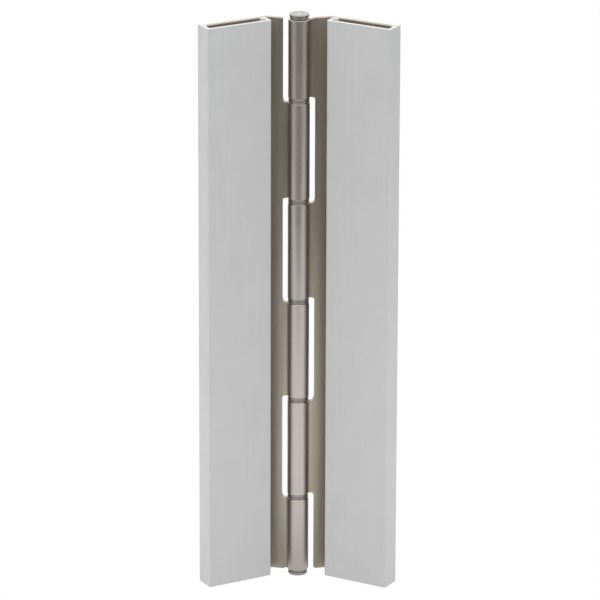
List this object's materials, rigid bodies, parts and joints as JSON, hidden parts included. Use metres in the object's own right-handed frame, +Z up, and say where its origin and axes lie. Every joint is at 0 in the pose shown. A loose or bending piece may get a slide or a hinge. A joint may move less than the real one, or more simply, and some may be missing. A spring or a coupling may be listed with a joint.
{
  "type": "piano hinge",
  "caption": "Continuous piano hinge: two cranked steel leaves with rolled knuckles on one long pin, each leaf under a clip-on aluminium cover.",
  "frame": {"origin": "middle of the frame leaf's back face, on its row of mounting holes", "axes": "+Z up along the pin; +Y out of the frame leaf's back face, into the frame it is fastened to; the covers face -Y and the pin is at +X"},
  "size_m": [0.0829, 0.0523, 0.283],
  "materials": {
    "leaf_steel": "rolled stainless sheet with a fine grain along the hinge",
    "cover_aluminium": "satin anodised, with faint lines along the extrusion",
    "pin_steel": "ground stainless rod",
    "cap_steel": "turned stainless, satin",
    "bush_alloy": "dull sintered metal",
    "spring_steel": "blued spring strip",
    "rivet_steel": "formed stainless"
  },
  "bodies": {
    "frame_side": {"frame_leaf": "leaf_steel", "frame_cover": "cover_aluminium", "hinge_pin": "pin_steel", "top_pin_cap": "cap_steel", "bottom_pin_cap": "cap_steel", "bush_2_top": "bush_alloy", "bush_2_bottom": "bush_alloy", "bush_4_top": "bush_alloy", "bush_4_bottom": "bush_alloy", "bush_6_top": "bush_alloy", "bush_6_bottom": "bush_alloy", "frame_clip_1": "spring_steel", "frame_clip_rivet_1": "rivet_steel", "frame_clip_2": "spring_steel", "frame_clip_rivet_2": "rivet_steel", "frame_clip_3": "spring_steel", "frame_clip_rivet_3": "rivet_steel", "frame_clip_4": "spring_steel", "frame_clip_rivet_4": "rivet_steel"},
    "door_side": {"door_leaf": "leaf_steel", "door_cover": "cover_aluminium", "bush_1_top": "bush_alloy", "bush_1_bottom": "bush_alloy", "bush_3_top": "bush_alloy", "bush_3_bottom": "bush_alloy", "bush_5_top": "bush_alloy", "bush_5_bottom": "bush_alloy", "door_clip_1": "spring_steel", "door_clip_rivet_1": "rivet_steel", "door_clip_2": "spring_steel", "door_clip_rivet_2": "rivet_steel", "door_clip_3": "spring_steel", "door_clip_rivet_3": "rivet_steel", "door_clip_4": "spring_steel", "door_clip_rivet_4": "rivet_steel"}
  },
  "joints": [
    {"name": "door_swing", "type": "hinge", "parent": "frame_side", "child": "door_side", "pos_m": [0.03, -0.01075, 0], "axis": [0, 0, 1], "range_deg": [-119, 144]}
  ]
}
